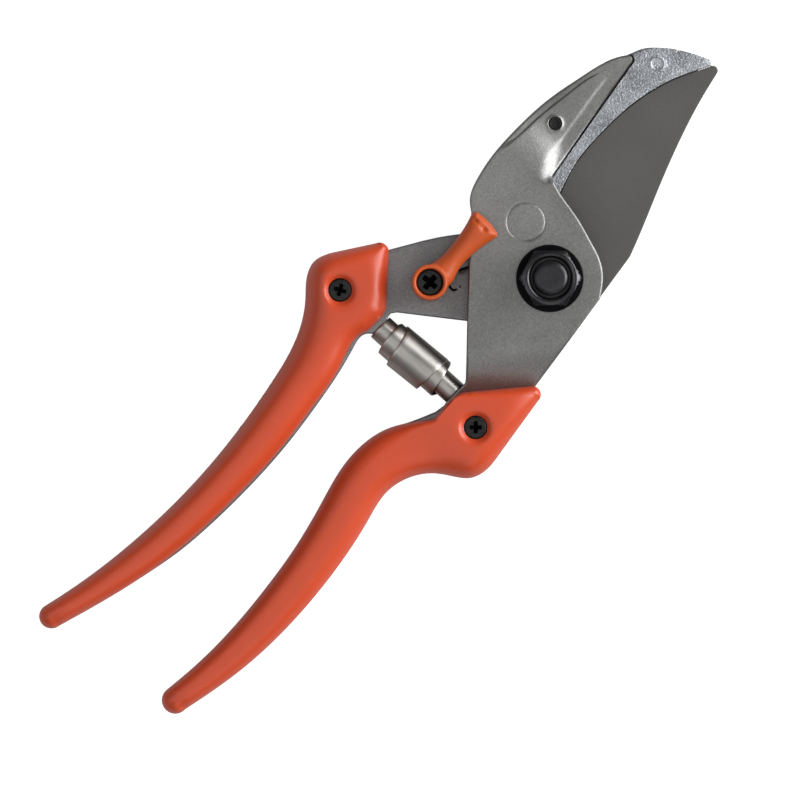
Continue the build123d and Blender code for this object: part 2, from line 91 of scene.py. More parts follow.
# -------- curves
def spline(*points, step=0.5):
    """Natural cubic curve through the points."""
    p = np.array(points, float)
    t = np.concatenate([[0], np.cumsum(np.linalg.norm(np.diff(p, axis=0), axis=1))])
    n, h = len(p), np.diff(t)
    rows, right = np.eye(n), np.zeros((n, 2))
    for i in range(1, n - 1):
        rows[i, i - 1 : i + 2] = h[i - 1], 2 * (h[i - 1] + h[i]), h[i]
        right[i] = 6 * ((p[i + 1] - p[i]) / h[i] - (p[i] - p[i - 1]) / h[i - 1])
    bend = np.linalg.solve(rows, right)
    s = np.linspace(0, t[-1], max(3, int(round(t[-1] / step)) + 1))
    k = np.clip(np.searchsorted(t, s, side="right") - 1, 0, n - 2)
    gap, after, before = h[k][:, None], (t[k + 1] - s)[:, None], (s - t[k])[:, None]
    cubic = (bend[k] * after**3 + bend[k + 1] * before**3) / (6 * gap)
    from_start, from_end = p[k] / gap - bend[k] * gap / 6, p[k + 1] / gap - bend[k + 1] * gap / 6
    return cubic + from_start * after + from_end * before


def straight(*points, step=0.5):
    """Polyline through the points, with extra points along each side."""
    p = np.array(points, float)
    runs = []
    for a, b in zip(p[:-1], p[1:]):
        count = max(1, int(round(np.linalg.norm(b - a) / step)))
        runs.append(a + (b - a) * np.arange(count)[:, None] / count)
    return np.vstack(runs + [p[-1:]])


def arc(a, m, b, step=0.3):
    """Arc of a circle from a through m to b."""
    a, m, b = (np.array(v, float) for v in (a, m, b))
    rows = 2 * np.array([m - a, b - a])
    centre = np.linalg.solve(rows, [m @ m - a @ a, b @ b - a @ a])
    angles = [math.atan2(*(v - centre)[::-1]) for v in (a, m, b)]
    sweep, half = (angles[2] - angles[0]) % math.tau, (angles[1] - angles[0]) % math.tau
    if half > sweep:
        sweep -= math.tau
    radius = np.linalg.norm(a - centre)
    count = max(4, int(abs(sweep) * radius / step))
    t = angles[0] + sweep * np.arange(count + 1) / count
    return centre + radius * np.stack([np.cos(t), np.sin(t)], 1)


def circle(at, radius, count):
    t = math.tau * np.arange(count) / count
    return np.array(at) + radius * np.stack([np.cos(t), np.sin(t)], 1)


def closed(*pieces):
    """One closed loop, anticlockwise, with no repeated points."""
    points = np.vstack(pieces)
    keep = np.linalg.norm(points - np.roll(points, 1, axis=0), axis=1) > 0.02
    points = points[keep]
    return points if signed_area(points) > 0 else points[::-1]


def signed_area(p):
    q = np.roll(p, -1, axis=0)
    return 0.5 * np.sum(p[:, 0] * q[:, 1] - q[:, 0] * p[:, 1])


def distance(points, line, is_closed=True):
    """Distance from each point to the line, and which side of it: +1 on the left."""
    a = line if is_closed else line[:-1]
    b = np.roll(line, -1, axis=0) if is_closed else line[1:]
    run = b - a
    length2 = np.maximum((run**2).sum(1), 1e-12)
    best, side = np.empty(len(points)), np.empty(len(points))
    for start in range(0, len(points), BATCH):
        batch = slice(start, start + BATCH)
        p = points[batch, None, :] - a
        t = np.clip((p * run).sum(2) / length2, 0, 1)
        gap = np.linalg.norm(p - t[..., None] * run, axis=2)
        near = gap.argmin(1)
        row = np.arange(len(near))
        cross = run[near, 0] * p[row, near, 1] - run[near, 1] * p[row, near, 0]
        best[batch] = gap[row, near]
        side[batch] = np.where(cross >= 0, 1, -1)
    return best, side


def inside(points, loop):
    """Whether each point lies inside the loop."""
    a, b = loop, np.roll(loop, -1, axis=0)
    x, y = points[:, :1], points[:, 1:]
    spans = (a[:, 1] > y) != (b[:, 1] > y)
    rise = np.where(b[:, 1] == a[:, 1], 1e-12, b[:, 1] - a[:, 1])
    crossing = a[:, 0] + (y - a[:, 1]) * (b[:, 0] - a[:, 0]) / rise
    return (spans & (x < crossing)).sum(1) % 2 == 1


def depth_in(points, loop):
    """Distance to a loop: positive inside it, negative outside."""
    gap, _ = distance(points, loop)
    return np.where(inside(points, loop), gap, -gap)


def beside(points, line):
    """Signed distance to an open line: positive on its left."""
    gap, side = distance(points, line, is_closed=False)
    return gap * side


def from_point(xy, at):
    """Distance from each point to one place."""
    return np.hypot(xy[:, 0] - at[0], xy[:, 1] - at[1])


def smooth(t):
    """Soft step from 0 at t = 0 to 1 at t = 1."""
    t = np.clip(t, 0, 1)
    return t * t * (3 - 2 * t)


def bump(offset, width):
    """Bell curve: 1 where the offset is 0."""
    return np.exp(-((offset / width) ** 2))


def shifted(line, offset):
    """The open line moved to its left by the offset."""
    run = np.gradient(line, axis=0)
    run /= np.linalg.norm(run, axis=1)[:, None]
    return line + offset * np.stack([-run[:, 1], run[:, 0]], 1)


def grown(loop, offset):
    """The closed loop moved outwards by the offset."""
    run = np.roll(loop, -1, axis=0) - np.roll(loop, 1, axis=0)
    run /= np.linalg.norm(run, axis=1)[:, None]
    return loop + offset * np.stack([run[:, 1], -run[:, 0]], 1)


def ring_line(loop):
    """The closed loop as an open line that ends where it starts."""
    return np.vstack([loop, loop[:1]])


def circles(at, radii, count):
    """Closed lines round one place."""
    return [ring_line(circle(at, radius, count)) for radius in radii]


# -------- meshes
class Region:
    """A flat area cut into triangles, fine at its edges and along its creases. edge lists the depths of the
    rings of points inside each outline, and grid is the spacing of the points in the middle."""

    CREASE_ROOM = 0.12
    ROW_SPACING = 0.866

    def __init__(self, outline, holes=(), edge=(0.1, 0.3, 0.6, 1.0), grid=1.0, creases=()):
        loops = [outline] + [h[::-1] for h in holes]
        self.loops = loops
        points, edges, rings = [], [], []
        for loop in loops:
            ids = list(range(len(points), len(points) + len(loop)))
            points += [tuple(p) for p in loop]
            edges += list(zip(ids, ids[1:] + ids[:1]))
            rings.append(ids)
        near = []
        for crease in creases:
            gap = self.depth(crease)
            last = None
            for p, room in zip(crease, gap):
                if room < self.CREASE_ROOM:
                    last = None
                    continue
                points.append(tuple(p))
                near.append(p)
                if last is not None:
                    edges.append((last, len(points) - 1))
                last = len(points) - 1
        for loop in loops:
            run = np.roll(loop, -1, axis=0) - np.roll(loop, 1, axis=0)
            run /= np.linalg.norm(run, axis=1)[:, None]
            inward = np.stack([-run[:, 1], run[:, 0]], 1)
            for share in edge:
                ring = loop + inward * share
                ring = ring[self.depth(ring) > share * 0.97]
                points += [tuple(p) for p in self.clear(ring, near, self.CREASE_ROOM)]
        low, high = outline.min(0), outline.max(0)
        ys = np.arange(low[1], high[1], grid * self.ROW_SPACING)
        xs = np.arange(low[0], high[0], grid)
        mesh_x, mesh_y = np.meshgrid(xs, ys)
        mesh_x[1::2] += grid / 2
        cloud = np.stack([mesh_x.ravel(), mesh_y.ravel()], 1)
        cloud = cloud[self.depth(cloud) > max(edge) + grid * 0.45]
        points += [tuple(p) for p in self.clear(cloud, near, grid * 0.4)]
        found = delaunay_2d_cdt([Vector(p) for p in points], edges, [], 0, 1e-5)
        self.xy = np.array([tuple(v) for v in found[0]])
        place = {}
        for i, sources in enumerate(found[3]):
            for s in sources:
                place[s] = i
        self.rings = [[place[i] for i in ids] for ids in rings]
        tris = np.array([f for f in found[2] if len(f) == 3])
        middle = self.xy[tris].mean(1)
        keep = inside(middle, loops[0])
        for hole in loops[1:]:
            keep &= ~inside(middle, hole)
        self.tris = tris[keep]
        corners = self.xy[self.tris]
        turn = np.cross(corners[:, 1] - corners[:, 0], corners[:, 2] - corners[:, 0])
        self.tris[turn < 0] = self.tris[turn < 0][:, ::-1]
        self.room = self.depth(self.xy, on_edge=True)

    def depth(self, points, on_edge=False):
        """Distance to the nearest edge: negative outside the area."""
        points = np.asarray(points, float)
        gap = np.min([distance(points, loop)[0] for loop in self.loops], axis=0)
        if on_edge:
            return gap
        good = inside(points, self.loops[0])
        for hole in self.loops[1:]:
            good &= ~inside(points, hole)
        return np.where(good, gap, -gap)

    @staticmethod
    def clear(points, near, room):
        """The points that keep the room given from all crease points."""
        if not len(near) or not len(points):
            return points
        near = np.array(near)
        keep = np.ones(len(points), bool)
        for start in range(0, len(points), BATCH):
            batch = slice(start, start + BATCH)
            keep[batch] = np.linalg.norm(points[batch, None] - near, axis=2).min(1) > room
        return points[keep]


def edge_drop(room, radius):
    """How far a rounded edge of that radius falls below the face."""
    left = np.clip(radius - room, 0, radius)
    return radius - np.sqrt(radius**2 - left**2)


def steps(radius):
    """Ring depths that sample a rounded edge evenly."""
    return tuple(radius * (1 - math.cos(math.radians(a))) for a in (22, 42, 62, 90))


def placed(name, data):
    """New object, put into the scene."""
    obj = bpy.data.objects.new(name, data)
    bpy.context.scene.collection.objects.link(obj)
    return obj


def make_mesh(name, points, faces, angle=38, side_faces=0):
    """Mesh object from points in millimetres. The last side_faces faces take the second material."""
    mesh = bpy.data.meshes.new(name)
    mesh.from_pydata([tuple(np.array(p) * MM) for p in points], [],
                     [tuple(int(i) for i in f) for f in faces])
    walls_from = len(faces) - side_faces
    mesh.polygons.foreach_set("material_index", [int(i >= walls_from) for i in range(len(faces))])
    work = bmesh.new()
    work.from_mesh(mesh)
    bmesh.ops.remove_doubles(work, verts=work.verts, dist=1e-6)
    bmesh.ops.dissolve_degenerate(work, edges=work.edges, dist=1e-7)
    bmesh.ops.recalc_face_normals(work, faces=work.faces)
    work.to_mesh(mesh)
    work.free()
    mesh.polygons.foreach_set("use_smooth", [True] * len(mesh.polygons))
    mesh.set_sharp_from_angle(angle=math.radians(angle))
    return placed(name, mesh)


def two_faced(name, top_area, top, bottom_area, bottom, angle=38, shaded_walls=True):
    """Closed solid whose two faces are cut into triangles differently. Both share the same outline points.
    When the flag is set, the side walls take the second material, which paints shade on them."""
    n = len(top_area.xy)
    points = np.vstack([np.column_stack([top_area.xy, top]), np.column_stack([bottom_area.xy, bottom])])
    faces = [tuple(t) for t in top_area.tris] + [tuple(t[::-1] + n) for t in bottom_area.tris]
    flat_faces = len(faces)
    for upper, lower in zip(top_area.rings, bottom_area.rings):
        for i in range(len(upper)):
            j = (i + 1) % len(upper)
            faces.append((lower[i] + n, lower[j] + n, upper[j], upper[i]))
    return make_mesh(name, points, faces, angle, len(faces) - flat_faces if shaded_walls else 0)


def slab(name, area, top, bottom, angle=38):
    """Closed solid over a flat area, between two height fields."""
    return two_faced(name, area, top, area, bottom, angle, shaded_walls=False)


def turned(name, at, profile, count=96, shape=None, angle=38):
    """Solid of revolution about an upright axis. profile holds (radius, height); shape(angles, radius,
    height) may change the radius, as for a hexagon. A first or last radius of 0 closes the end."""
    t = math.tau * np.arange(count) / count
    points, faces, rows = [], [], []
    for radius, height in profile:
        if radius == 0:
            rows.append([len(points)] * count)
            points.append((at[0], at[1], height))
            continue
        r = np.full(count, float(radius)) if shape is None else shape(t, radius, height)
        rows.append(list(range(len(points), len(points) + count)))
        points += [(at[0] + q * math.cos(a), at[1] + q * math.sin(a), height) for q, a in zip(r, t)]
    pairs = list(zip(rows, rows[1:]))
    if profile[0][0] and profile[-1][0]:
        pairs.append((rows[-1], rows[0]))
    for low, high in pairs:
        for i in range(count):
            j = (i + 1) % count
            corner = []
            for v in (low[i], low[j], high[j], high[i]):
                if v not in corner:
                    corner.append(v)
            if len(corner) > 2:
                faces.append(tuple(corner))
    return make_mesh(name, points, faces, angle)


# -------- materials
def set_inputs(node, values):
    """Sets several of a node's inputs."""
    for socket, value in values.items():
        node.inputs[socket].default_value = value


def material(name, colour, rough, metallic=0.0, vary=0.06, blotch=60.0, grain=1500.0, bumpiness=0.1,
             lumps=0.0, streak=None, rough_vary=0.06, specks_and_glints=0.0, relief_depth=0.00005, specular=0.5):
    """Shader with uneven colour and gloss, fine surface grain, and optional streaks, lumps and pale
    specks. The pale specks are partly random flecks and partly painted glints of the grain."""
    made = bpy.data.materials.new(name)
    made.use_nodes = True
    nodes, link = made.node_tree.nodes, made.node_tree.links.new
    shader = nodes["Principled BSDF"]
    set_inputs(shader, {"Metallic": metallic, "Specular IOR Level": specular})
    place = nodes.new("ShaderNodeTexCoord")
    source = place.outputs["Object"]
    if streak:
        mapping = nodes.new("ShaderNodeMapping")
        mapping.inputs["Scale"].default_value = streak
        link(source, mapping.inputs["Vector"])
        source = mapping.outputs["Vector"]

    def noise(scale, detail, vector):
        made_noise = nodes.new("ShaderNodeTexNoise")
        set_inputs(made_noise, {"Scale": scale, "Detail": detail})
        link(vector, made_noise.inputs["Vector"])
        return made_noise.outputs["Fac"]

    def spread(value, low, high, start=0.3, end=0.7):
        mapped = nodes.new("ShaderNodeMapRange")
        set_inputs(mapped, {"From Min": start, "From Max": end, "To Min": low, "To Max": high})
        link(value, mapped.inputs["Value"])
        return mapped.outputs["Result"]

    def relief(height, strength, depth, below=None):
        raised = nodes.new("ShaderNodeBump")
        set_inputs(raised, {"Strength": strength, "Distance": depth})
        link(height, raised.inputs["Height"])
        if below is not None:
            link(below, raised.inputs["Normal"])
        return raised.outputs["Normal"]

    wide = noise(blotch, 4.0, place.outputs["Object"])
    fine = noise(grain, 3.0, source)
    ramp = nodes.new("ShaderNodeValToRGB")
    for stop, position, change in zip(ramp.color_ramp.elements, (0.35, 0.65), (-vary, vary)):
        stop.position = position
        stop.color = (*[min(1, c * (1 + change)) for c in colour], 1)
    blend = nodes.new("ShaderNodeMix")
    blend.inputs["Factor"].default_value = 0.5
    link(wide, blend.inputs["A"])
    link(fine, blend.inputs["B"])
    link(blend.outputs["Result"], ramp.inputs["Fac"])
    shade = ramp.outputs["Color"]
    # Pale specks in the base colour: partly random flecks, partly painted glints of the grain.
    if specks_and_glints:
        speck_glint_mask = spread(noise(grain * 0.6, 2.0, place.outputs["Object"]), 0, specks_and_glints, start=0.58, end=0.72)
        speck_glint_mix = nodes.new("ShaderNodeMix")
        speck_glint_mix.data_type = "RGBA"
        link(speck_glint_mask, speck_glint_mix.inputs["Factor"])
        link(shade, speck_glint_mix.inputs["A"])
        speck_glint_mix.inputs["B"].default_value = (*[min(1, c * 2.2) for c in colour], 1)
        shade = speck_glint_mix.outputs["Result"]
    link(shade, shader.inputs["Base Color"])
    link(spread(wide, rough - rough_vary, rough + rough_vary), shader.inputs["Roughness"])
    normal = relief(fine, bumpiness, relief_depth)
    if lumps:
        normal = relief(noise(grain * 0.3, 4.0, place.outputs["Object"]), lumps, 0.0002, below=normal)
    link(normal, shader.inputs["Normal"])
    return made


ALUMINIUM = material("satin_aluminium", (0.255, 0.255, 0.25), 0.42, 0.9, vary=0.26, blotch=45, grain=2400,
                     bumpiness=0.7, specks_and_glints=0.16)
# A darker copy of the satin aluminium: painted shade on the blade arm, which lies lower than the lap.
SHADED_ALUMINIUM = material("satin_aluminium_shaded", (0.235, 0.23, 0.233), 0.46, 0.85, vary=0.26, blotch=45,
                          grain=2400, bumpiness=0.7, specks_and_glints=0.12)
# Near-black material that paints shade: on the arms' side walls, in the grooves of the marks beside the
# latch, and on the anvil's ledge.
PAINTED_SHADE = material("painted_shade_dark", (0.05, 0.05, 0.05), 0.75, 0.6, vary=0.2, blotch=120, grain=1800,
                     bumpiness=0.8, specks_and_glints=0.1)
CAST_ZINC = material("cast_anvil", (0.34, 0.352, 0.375), 0.46, 0.8, vary=0.5, blotch=120, grain=2300,
                     bumpiness=1.0, lumps=0.3, specks_and_glints=0.7, relief_depth=0.0002)
COATED_BLADE = material("coated_blade", (0.098, 0.096, 0.091), 0.5, 0.3, vary=0.08, blotch=70, grain=2600,
                        bumpiness=0.3, specks_and_glints=0.05)
ORANGE = material("orange_grip_plastic", (0.62, 0.066, 0.0165), 0.37, vary=0.05, blotch=30, grain=2400,
                  bumpiness=0.22, rough_vary=0.05, specular=0.6)
LATCH_ORANGE = material("latch_plastic", (0.55, 0.085, 0.013), 0.42, vary=0.05, blotch=60, grain=2400,
                        bumpiness=0.25, rough_vary=0.04)
BLACK_OXIDE = material("black_oxide", (0.06, 0.06, 0.064), 0.25, 0.95, vary=0.2, blotch=220, grain=1800,
                       bumpiness=0.15)
BLACK_WASHER = material("black_washer", (0.003, 0.003, 0.004), 0.5, 0.9, vary=0.3, blotch=220, grain=1800,
                        bumpiness=0.15)
BOLT_STEEL = material("bolt_end_steel", (0.045, 0.043, 0.047), 0.36, 0.8, vary=0.2, blotch=260, grain=1900,
                      bumpiness=0.25)
# A deeper black than the screw heads: painted shade in the cross recesses.
RECESS_SHADE = material("cross_recess_painted_shade", (0.003, 0.003, 0.003), 0.6, 1.0, vary=0.3, blotch=400, grain=2500,
                  bumpiness=0.3)
BLACK_SCREW = material("blackened_screw", (0.016, 0.016, 0.016), 0.38, 0.5, vary=0.4, blotch=500, grain=2200,
                       bumpiness=1.0, lumps=0.5, specks_and_glints=0.6, relief_depth=0.0001)
SPRING_STEEL = material("spring_steel", (0.46, 0.445, 0.42), 0.36, 1.0, vary=0.1, blotch=160, grain=1200,
                        bumpiness=0.01, streak=(1, 0.15, 1), rough_vary=0.02)
DARK_STEEL = material("dark_steel", (0.09, 0.09, 0.09), 0.4, 0.8, vary=0.12, blotch=300, grain=2200,
                      bumpiness=0.2)
BRONZE = material("bearing_bronze", (0.45, 0.27, 0.11), 0.4, 0.9, vary=0.1, blotch=200, grain=1800,
                  bumpiness=0.2)
NYLON = material("lock_ring_nylon", (0.008, 0.008, 0.009), 0.5, vary=0.1, blotch=300, grain=2200,
                 bumpiness=0.15)


def finished(obj, look, body, slot, *nodes, side_look=None):
    """Gives the piece its material and says what it rides on and what it stands for."""
    obj.data.materials.append(look)
    if side_look:
        obj.data.materials.append(side_look)
    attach(obj, body)
    if nodes:
        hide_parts(*nodes)
    return obj


# -------- outlines
anvil_arm_loop = closed(
    spline((-1.9, 24.7), (0, 27.1), (5, 29.4), (10, 30.5), (20, 31.2), (30, 30.8), (40, 29.0), (50, 25.8),
           (52.0, 24.4)),
    arc((52.0, 24.4), (51.9, 23.3), (50.6, 22.7)),
    straight((50.6, 22.7), (18.2, 17.03)),
    arc((18.2, 17.03), (17.5, 16.65), (17.15, 15.9)),
    spline((17.15, 15.9), (16.5, 13.6), (15.8, 10), (15.0, 5.2), (13.6, 0.2), (11.9, -5.1), (9.4, -8.8),
           (5.2, -12.0)),
    straight((5.2, -12.0), (-20, -15.9), (-30, -17.4), (-44, -19.2)),
    spline((-44, -19.2), (-47.2, -16.4), (-50.5, -10.6), (-55, -7.2), (-61, -5.7), (-68, -6.1), (-76, -8.2),
           (-90, -10.7), (-105, -11.7), (-118, -10.9)),
    arc((-118, -10.9), (-119.6, -9.3), (-118.2, -7.8)),
    spline((-118.2, -7.8), (-107, -6.3), (-90, -3.8), (-76, 0.5), (-68, 2.5), (-60, 3.0), (-53.3, 1.9),
           (-48.8, -0.3), (-42, -3.3)),
    straight((-42, -3.3), (-39.4, -3.7), (-38.4, -3.4), (-33.2, -3.4), (-32.0, -3.4), (-31.2, -2.8),
             (-21.1, 6.9), (-10.7, 16.7), (-1.9, 24.7)),
)
anvil_loop = closed(
    straight((20, 14.1), (13.8, 11.9), (13.8, 25.3), (17, 28.2)),
    spline((17, 28.2), (25, 29.1), (35, 28.0), (45.4, 25.7)),
    straight((45.4, 25.7), (46.0, 27.0)),
    spline((46.0, 27.0), (49.5, 25.8), (52.3, 24.6), (55, 23.5), (58, 20.9), (60.2, 18.3), (62.2, 15.2),
           (63.8, 12.1), (64.6, 10.3)),
    arc((64.6, 10.3), (64.5, 9.3), (63.5, 9.2)),
    spline((63.5, 9.2), (60, 10.9), (55, 13.1), (50, 14.6), (45, 15.6), (38, 16.1), (30, 15.95), (25, 15.4),
           (20, 14.1)),
)
blade_edge = spline((12.6, 10.9), (16.4, 12.4), (20, 13.85), (25, 15.15), (30, 15.7), (38, 15.85),
                    (45, 15.3), (50, 14.3), (55, 12.8), (60, 10.6), (63.7, 8.8))
blade_loop = closed(
    blade_edge,
    arc((63.7, 8.8), (64.7, 7.9), (63.6, 6.4)),
    spline((63.6, 6.4), (57, 4.8), (50, 2.7), (35, -2.9), (20, -9.1), (17.6, -10.0)),
    straight((17.6, -10.0), (4.6, -12.0), (-2.7, -10.2)),
    arc((-2.7, -10.2), (-8.3, -6.6), (-10.4, -2.0)),
    straight((-10.4, -2.0), (-15.3, 5.3)),
    arc((-15.3, 5.3), (-13.6, 9.9), (-9.2, 10.6)),
    straight((-9.2, 10.6), (12.6, 10.9)),
)
blade_arm_loop = closed(
    straight((8.5, 8.6), (-7.5, 22.9), (-10, 24.8), (-12, 26.2), (-15, 28.1), (-22.4, 32.4), (-30, 36.9)),
    spline((-30, 36.9), (-34, 38.9), (-37.5, 39.6), (-41, 37.6), (-45, 34.4), (-50, 31.6), (-64, 27.4),
           (-78, 24.7), (-93, 23.2), (-107, 22.9), (-119, 23.4)),
    arc((-119, 23.4), (-121.6, 21.4), (-120.4, 18.6)),
    spline((-120.4, 18.6), (-110, 16.7), (-100, 15.9), (-90, 15.7), (-80, 16.0), (-70, 16.9), (-60, 18.4),
           (-50, 20.4), (-44, 22.1)),
    spline((-44, 22.1), (-42, 22.4), (-40.4, 21.8), (-39.4, 20.7)),
    straight((-39.4, 20.7), (-34.6, 20.7), (-33.8, 21.1), (-32.8, 21.2), (-31.6, 20.3), (-21.1, 6.9),
             (-11.8, -2.7)),
    arc((-11.8, -2.7), (0, -12.1), (8.5, 8.6)),
)
left_crown = spline((-142.4, 30.4), (-135, 28.8), (-115, 26.2), (-95, 25.9), (-78, 27.5), (-65, 29.8),
                    (-52, 33.7), (-45, 38.3), (-41, 41.8), (-37, 43.2), (-33, 41.9))
left_belly = spline((-39.8, 22.1), (-42.8, 22.8), (-50, 20.9), (-60, 18.8), (-75, 16.8), (-92, 16.2),
                    (-110, 17.0), (-125, 19.6), (-143.0, 24.45))
left_cover_loop = closed(
    left_crown,
    straight((-33, 41.9), (-23.0, 35.4)),
    arc((-23.0, 35.4), (-22.1, 33.8), (-22.6, 32.1)),
    straight((-22.6, 32.1), (-32.6, 22.9)),
    arc((-32.6, 22.9), (-34.2, 22.2), (-36.0, 22.0)),
    straight((-36.0, 22.0), (-39.8, 22.1)),
    left_belly,
    arc((-143.0, 24.45), (-145.6, 27.7), (-142.4, 30.4)),
)
right_crown = spline((-135.8, -4.8), (-128, -5.5), (-115, -5.6), (-100, -4.2), (-90, -2.6), (-76, 1.0),
                     (-68, 3.1), (-60, 3.6), (-53.5, 2.2), (-48, -0.9), (-43.6, -4.1))
right_belly = spline((-38, -21.4), (-43.5, -21.9), (-47.4, -20.6), (-50.2, -17.2), (-53, -13.4),
                     (-57.5, -10.2),
                     (-64, -8.7), (-72, -10.3), (-88, -13.5), (-104, -14.8), (-121, -14.0), (-135.6, -11.4))
right_cover_loop = closed(
    right_crown,
    straight((-43.6, -4.1), (-36.6, -3.7)),
    arc((-36.6, -3.7), (-34.8, -4.2), (-33.2, -5.3)),
    straight((-33.2, -5.3), (-20.9, -15.6)),
    arc((-20.9, -15.6), (-20.6, -17.3), (-22.3, -18.9)),
    straight((-22.3, -18.9), (-38, -21.4)),
    right_belly,
    arc((-135.6, -11.4), (-139.1, -8.1), (-135.8, -4.8)),
)
latch_loop = closed(
    spline((-18.6, 23.1), (-16.4, 22.4), (-13, 22.2), (-9.8, 22.5), (-5.3, 23.3), (-2.4, 24.2)),
    arc((-2.4, 24.2), (-1.3, 23.9), (-0.95, 22.7)),
    arc((-0.95, 22.7), (-0.75, 20.0), (-1.1, 17.2)),
    arc((-1.1, 17.2), (-1.6, 16.2), (-2.6, 16.1)),
    spline((-2.6, 16.1), (-6.4, 16.9), (-10, 17.2), (-14.2, 16.9), (-17.4, 15.9), (-18.9, 15.9)),
    arc((-18.9, 15.9), (-25.4, 19.7), (-18.6, 23.2)),
)


# -------- anvil arm
def along_fall(xy):
    """Distance along the slope that leads from the lap down to the tang."""
    return -0.6 * xy[:, 0] - 0.8 * xy[:, 1]


def anvil_arm_top(xy, pad_crown, pad_foot):
    """Front face of the arm: the lap, the slope down to the tang, and the prong past its fold."""
    x, y = xy[:, 0], xy[:, 1]
    fall_start, fall_length = 14.0, 13.5
    height = LAP_FRONT - (LAP_FRONT - TANG_FRONT) * smooth((along_fall(xy) - fall_start) / fall_length)

    # The fold's line is given as (Y, X). Its ramp is short at the prong's foot and long towards the crown.
    fold = spline((9, 23.7), (12, 21.2), (14.5, 18.1), (16, 16.1), (17.5, 14.9), (19.5, 15.1), (22, 15.3),
                  (26, 15.2), (31, 14.8), step=0.1)
    fading = smooth((y - 17.0) / 5.5)
    ramp_start = np.interp(y, fold[:, 0], fold[:, 1]) - 1.6 * fading
    ramp_length = 4.9 + 9.0 * fading
    lean = PRONG_LEAN * np.clip(x - 21, 0, 23)
    tilt = PRONG_TILT * np.maximum(29 - y, 0) * smooth((x - 19) / 6)
    height -= PAD_DROP * smooth((x - ramp_start) / ramp_length) + lean
    height -= tilt

    # The steps beside the pad fade out at both ends
    crown_step_width = 0.4 + 1.1 * smooth((19 - x) / 7)
    crown_length = smooth((x - 11) / 7) * smooth((44.5 - x) / 4.5)
    height -= CROWN_DROP * smooth(beside(xy, pad_crown) / crown_step_width) * crown_length
    foot_step_width = 0.6
    foot_length = smooth((x - 18) / 4) * smooth((46.5 - x) / 4)
    height -= FOOT_DROP * smooth(beside(xy, pad_foot) / foot_step_width) * foot_length

    # A raised ring round the pin's seat, and the plain ring groove on the lap
    from_pin = from_point(xy, PIN_AT)
    height += 0.22 * bump(from_pin - 1.8, 0.24) - 0.5 * (from_pin < 1.5)
    return height - 0.11 * bump(from_point(xy, BADGE_AT) - BADGE_RADIUS, 0.13)


def anvil_arm_bottom(xy):
    """Back face of the arm: the lap, the slope to the tang, and the slot that the anvil sits in."""
    x, y = xy[:, 0], xy[:, 1]
    fall_start, fall_length = 15.5, 12.5
    slot_start, ledge_start, ledge_end, ledge_foot = 13.7, 14.2, 46.2, 20
    height = LAP_BACK - (LAP_BACK - TANG_BACK) * smooth((along_fall(xy) - fall_start) / fall_length)
    in_slot = depth_in(xy, anvil_loop) > -0.05
    height = np.where(in_slot & (x > slot_start), ANVIL_FRONT, height)
    ledge = ~in_slot & (x > ledge_start) & (x < ledge_end) & (y > ledge_foot)
    height = np.where(ledge, ANVIL_BACK, height)
    return np.where((x >= ledge_end) & (y > ledge_foot), ANVIL_FRONT, height)


def anvil_arm():
    """Hook arm: a flat lap over the pivot, a lower prong with a raised pad that holds the anvil, and a tang
    inside the lower grip."""
    top_rounding, bottom_rounding = 0.5, 0.6
    pad_crown = spline((9, 30.6), (14, 29.75), (20, 29.2), (25, 29.05), (30, 28.6), (35, 28.05), (40, 27.3),
                       (43.3, 26.5))
    pad_foot = spline((43.6, 24.7), (40, 24.3), (35, 23.5), (30, 22.7), (25, 21.9), (18.6, 21.0), (9, 20.4))
    creases = [shifted(pad_crown, offset) for offset in (-0.15, 0.05, 0.25, 0.45, 0.65, 0.9)]
    creases += [shifted(pad_foot, offset) for offset in (-0.1, 0.2, 0.5, 0.8)]
    creases += circles(PIN_AT, (1.45, 1.6, 1.8, 2.0, 2.25), 40)
    creases += circles(BADGE_AT, (4.42, BADGE_RADIUS, 4.78), 72)
    top_area = Region(anvil_arm_loop, edge=(0.05, 0.16, 0.36, 0.65, 1.0, 1.4), grid=0.7, creases=creases)
    top = anvil_arm_top(top_area.xy, pad_crown, pad_foot) - edge_drop(top_area.room, top_rounding)
    slot_edges = [ring_line(anvil_loop), ring_line(grown(anvil_loop, 0.15))]
    bottom_area = Region(anvil_arm_loop, edge=steps(bottom_rounding), grid=1.6, creases=slot_edges)
    bottom = anvil_arm_bottom(bottom_area.xy) + edge_drop(bottom_area.room, bottom_rounding)
    return two_faced("anvil_arm_body", top_area, top, bottom_area, bottom)


# The arm's side walls take the near-black material: painted shade.
finished(anvil_arm(), ALUMINIUM, "anvil_side", "aluminium_satin", "anvil_arm", side_look=PAINTED_SHADE)


# -------- anvil and its pin
def anvil():
    """Curved casting with a narrow gap along the prong's edge, a small round boss and a lowered lip at its
    tip."""
    gap_depth, boss_radius = 2.4, 1.6
    prong_edge = np.vstack([straight((18.2, 17.03), (50.6, 22.7))[:-1],
                            arc((50.6, 22.7), (51.9, 23.3), (52.0, 24.4))])
    creases = [shifted(prong_edge, offset) for offset in (0.1, 0.02, -0.2, -0.3)]
    creases += circles(BOSS_AT, (1.25, 1.45, 1.65, 1.85), 40)
    area = Region(anvil_loop, edge=(0.05, 0.12, 0.25, 0.5, 0.9), grid=0.8, creases=creases)
    x, y = area.xy[:, 0], area.xy[:, 1]
    below = -beside(area.xy, prong_edge)
    gap = smooth((below + 0.1) / 0.12) * smooth((0.3 - below) / 0.12) * (x > 17.2)
    from_boss = from_point(area.xy, BOSS_AT)
    boss = 0.14 * bump(from_boss - boss_radius, 0.2) - 0.05 * (from_boss < 1.5)
    lip = 0.2 * smooth((x - 42) / 8) * smooth(1 - (area.room - 0.35) / 0.3) * (y < 17)
    rounding = 0.02 + 0.8 * smooth((y - 20) / 4)
    top = ANVIL_FRONT - gap_depth * gap + boss - lip - edge_drop(area.room, rounding)
    return slab("anvil_casting", area, top, ANVIL_BACK + edge_drop(area.room, 0.4))


